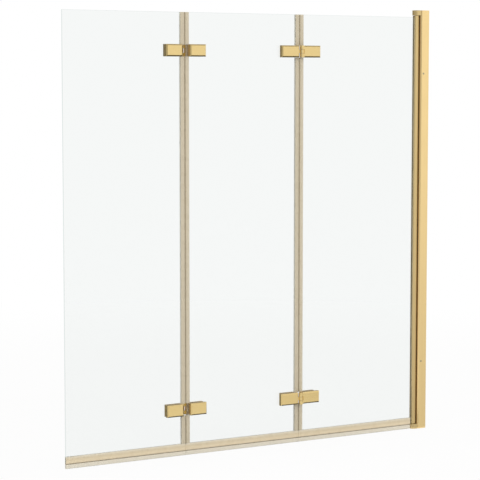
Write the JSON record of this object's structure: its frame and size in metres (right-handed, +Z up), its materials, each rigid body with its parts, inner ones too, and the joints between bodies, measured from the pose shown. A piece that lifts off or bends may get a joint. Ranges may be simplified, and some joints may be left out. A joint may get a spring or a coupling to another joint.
{
  "type": "shower screen",
  "caption": "Frameless folding bath screen of clear glass panels on gold pivot and wall profiles, with bevelled glass-to-glass hinges and clear plastic seals.",
  "frame": {"origin": "on the wall face, in the middle of its width, at the foot of the wall profile", "axes": "+X into the wall, +Z up, -Y towards the front, the side that the folded middle panel lies on"},
  "size_m": [1.3, 0.048, 1.38],
  "materials": {
    "gold_profile": "satin gold anodised",
    "gold_hinge": "satin gold",
    "clear_glass": "clear tempered",
    "clear_seal": "translucent",
    "steel": "brushed",
    "nylon": "matte",
    "rubber": "matte"
  },
  "bodies": {
    "wall_side": {"wall_profile": "gold_profile", "adjusting_profile": "gold_profile", "side_screws": "steel", "wiper_strip": "rubber", "top_bracket": "gold_profile", "bottom_bracket": "gold_profile", "bracket_screws": "steel", "pivot_pins": "steel"},
    "inner_panel": {"pivot_profile": "gold_profile", "pivot_bushes": "nylon", "glazing_gaskets": "rubber", "inner_glass": "clear_glass", "inner_bottom_seal": "clear_seal", "inner_left_edge_seal": "clear_seal", "inner_left_hinge_leaf_lower": "gold_hinge", "inner_left_hinge_cover_lower": "gold_hinge", "inner_left_hinge_leaf_upper": "gold_hinge", "inner_left_hinge_cover_upper": "gold_hinge", "inner_left_clamp_plates": "steel", "inner_left_glass_pads": "nylon", "inner_left_hinge_screws": "steel", "inner_fold_pin_lower": "steel", "inner_fold_pin_upper": "steel"},
    "middle_panel": {"middle_glass": "clear_glass", "middle_bottom_seal": "clear_seal", "middle_right_edge_seal": "clear_seal", "middle_right_hinge_leaf_lower": "gold_hinge", "middle_right_hinge_cover_lower": "gold_hinge", "middle_right_hinge_leaf_upper": "gold_hinge", "middle_right_hinge_cover_upper": "gold_hinge", "middle_right_clamp_plates": "steel", "middle_right_glass_pads": "nylon", "middle_right_hinge_screws": "steel", "middle_left_edge_seal": "clear_seal", "middle_left_hinge_leaf_lower": "gold_hinge", "middle_left_hinge_cover_lower": "gold_hinge", "middle_left_hinge_leaf_upper": "gold_hinge", "middle_left_hinge_cover_upper": "gold_hinge", "middle_left_clamp_plates": "steel", "middle_left_glass_pads": "nylon", "middle_left_hinge_screws": "steel", "inner_fold_bushes": "nylon", "outer_fold_pin_lower": "steel", "outer_fold_pin_upper": "steel"},
    "outer_panel": {"outer_glass": "clear_glass", "outer_bottom_seal": "clear_seal", "outer_right_edge_seal": "clear_seal", "outer_right_hinge_leaf_lower": "gold_hinge", "outer_right_hinge_cover_lower": "gold_hinge", "outer_right_hinge_leaf_upper": "gold_hinge", "outer_right_hinge_cover_upper": "gold_hinge", "outer_right_clamp_plates": "steel", "outer_right_glass_pads": "nylon", "outer_right_hinge_screws": "steel", "outer_fold_bushes": "nylon"}
  },
  "joints": [
    {"name": "wall_swing", "type": "hinge", "parent": "wall_side", "child": "inner_panel", "pos_m": [-0.0409, 0, 0.69], "axis": [0, 0, 1], "range_deg": [-90, 0]},
    {"name": "inner_fold", "type": "hinge", "parent": "inner_panel", "child": "middle_panel", "pos_m": [-0.49, -0.0175, 0.69], "axis": [0, 0, 1], "range_deg": [0, 180]},
    {"name": "outer_fold", "type": "hinge", "parent": "middle_panel", "child": "outer_panel", "pos_m": [-0.8975, 0.0175, 0.69], "axis": [0, 0, -1], "range_deg": [0, 180]}
  ]
}
